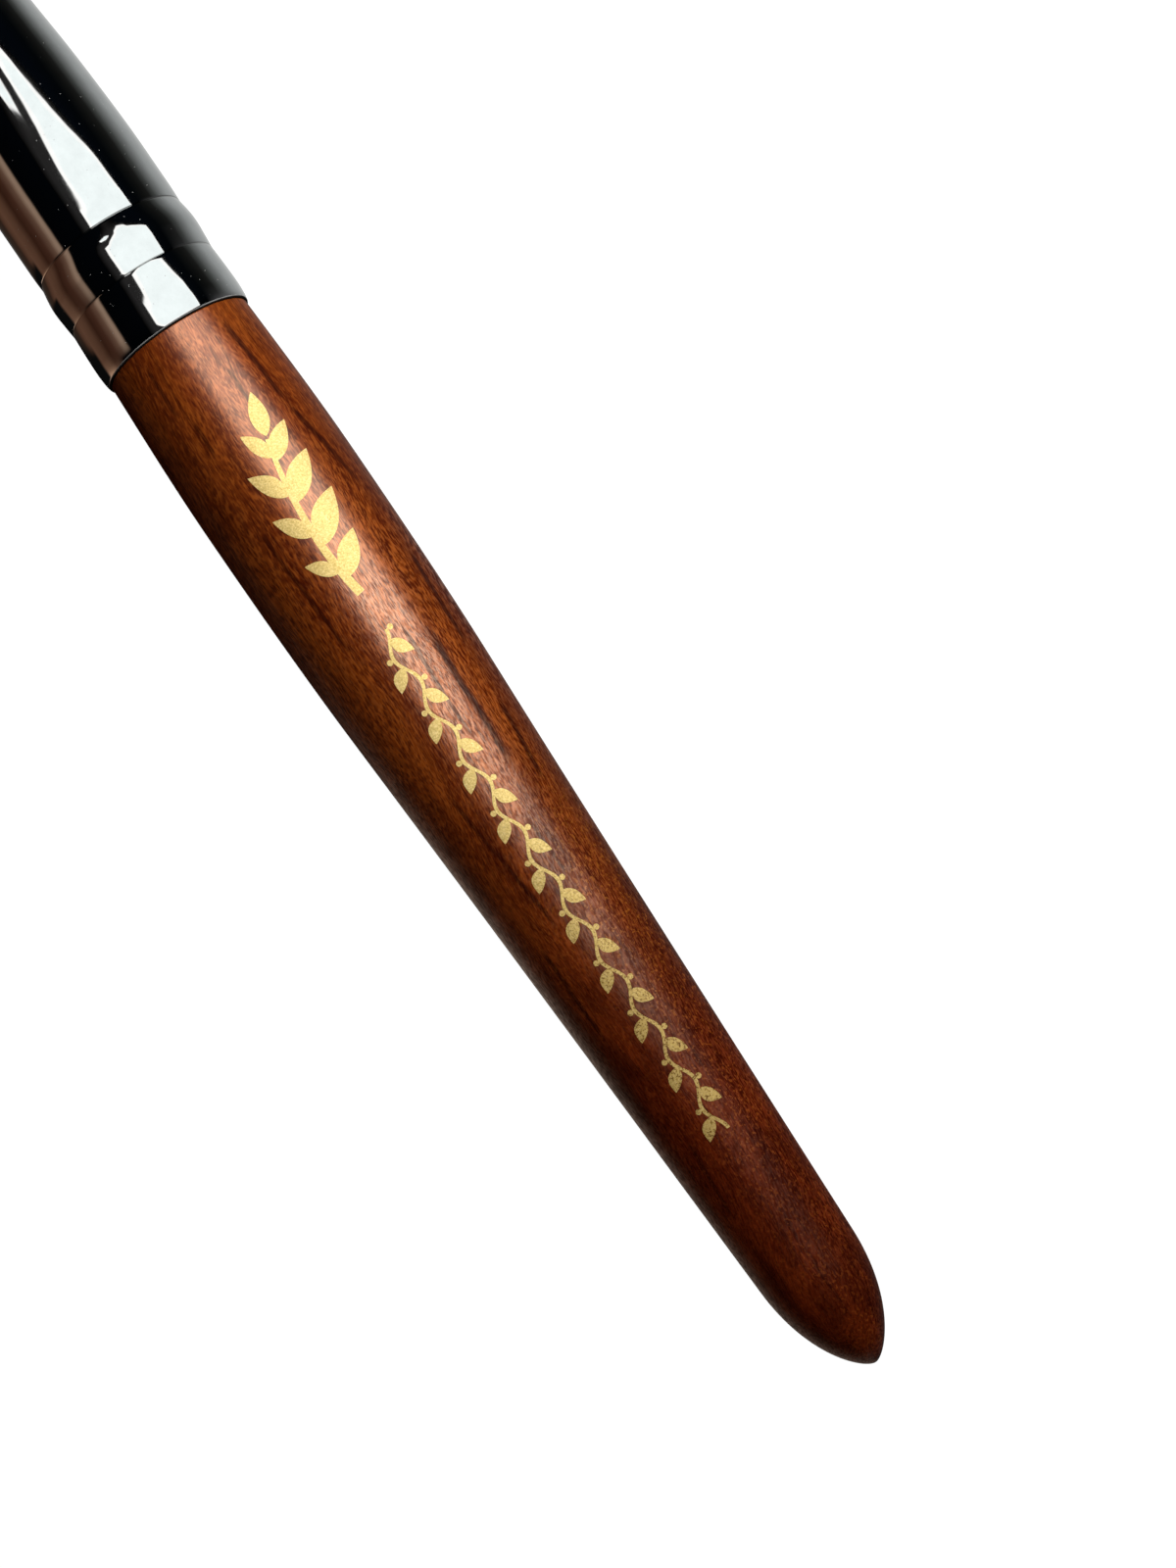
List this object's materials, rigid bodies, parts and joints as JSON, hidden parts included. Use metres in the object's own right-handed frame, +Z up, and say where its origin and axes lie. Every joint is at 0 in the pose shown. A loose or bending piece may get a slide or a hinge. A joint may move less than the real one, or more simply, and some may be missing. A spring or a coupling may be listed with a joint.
{
  "type": "calligraphy brush",
  "caption": "Round calligraphy brush: a turned, lacquered hardwood handle crimped and glued into a seamless plated ferrule that holds a pointed tuft of hair.",
  "frame": {"origin": "on the surface that the brush lies on, under the middle of its length", "axes": "+X along the brush from the butt of the handle to the point of the hair, +Z up"},
  "size_m": [0.182, 0.0144, 0.0145],
  "materials": {
    "lacquered_wood": "gloss",
    "plated_metal": "polished",
    "glue": "satin",
    "hair": "satin",
    "thread": "matte",
    "resin": "gloss"
  },
  "bodies": {
    "root": {"handle": "lacquered_wood", "ferrule": "plated_metal", "tenon_glue": "glue", "hair_tuft": "hair", "root_binding": "thread", "root_resin": "resin"}
  },
  "joints": []
}
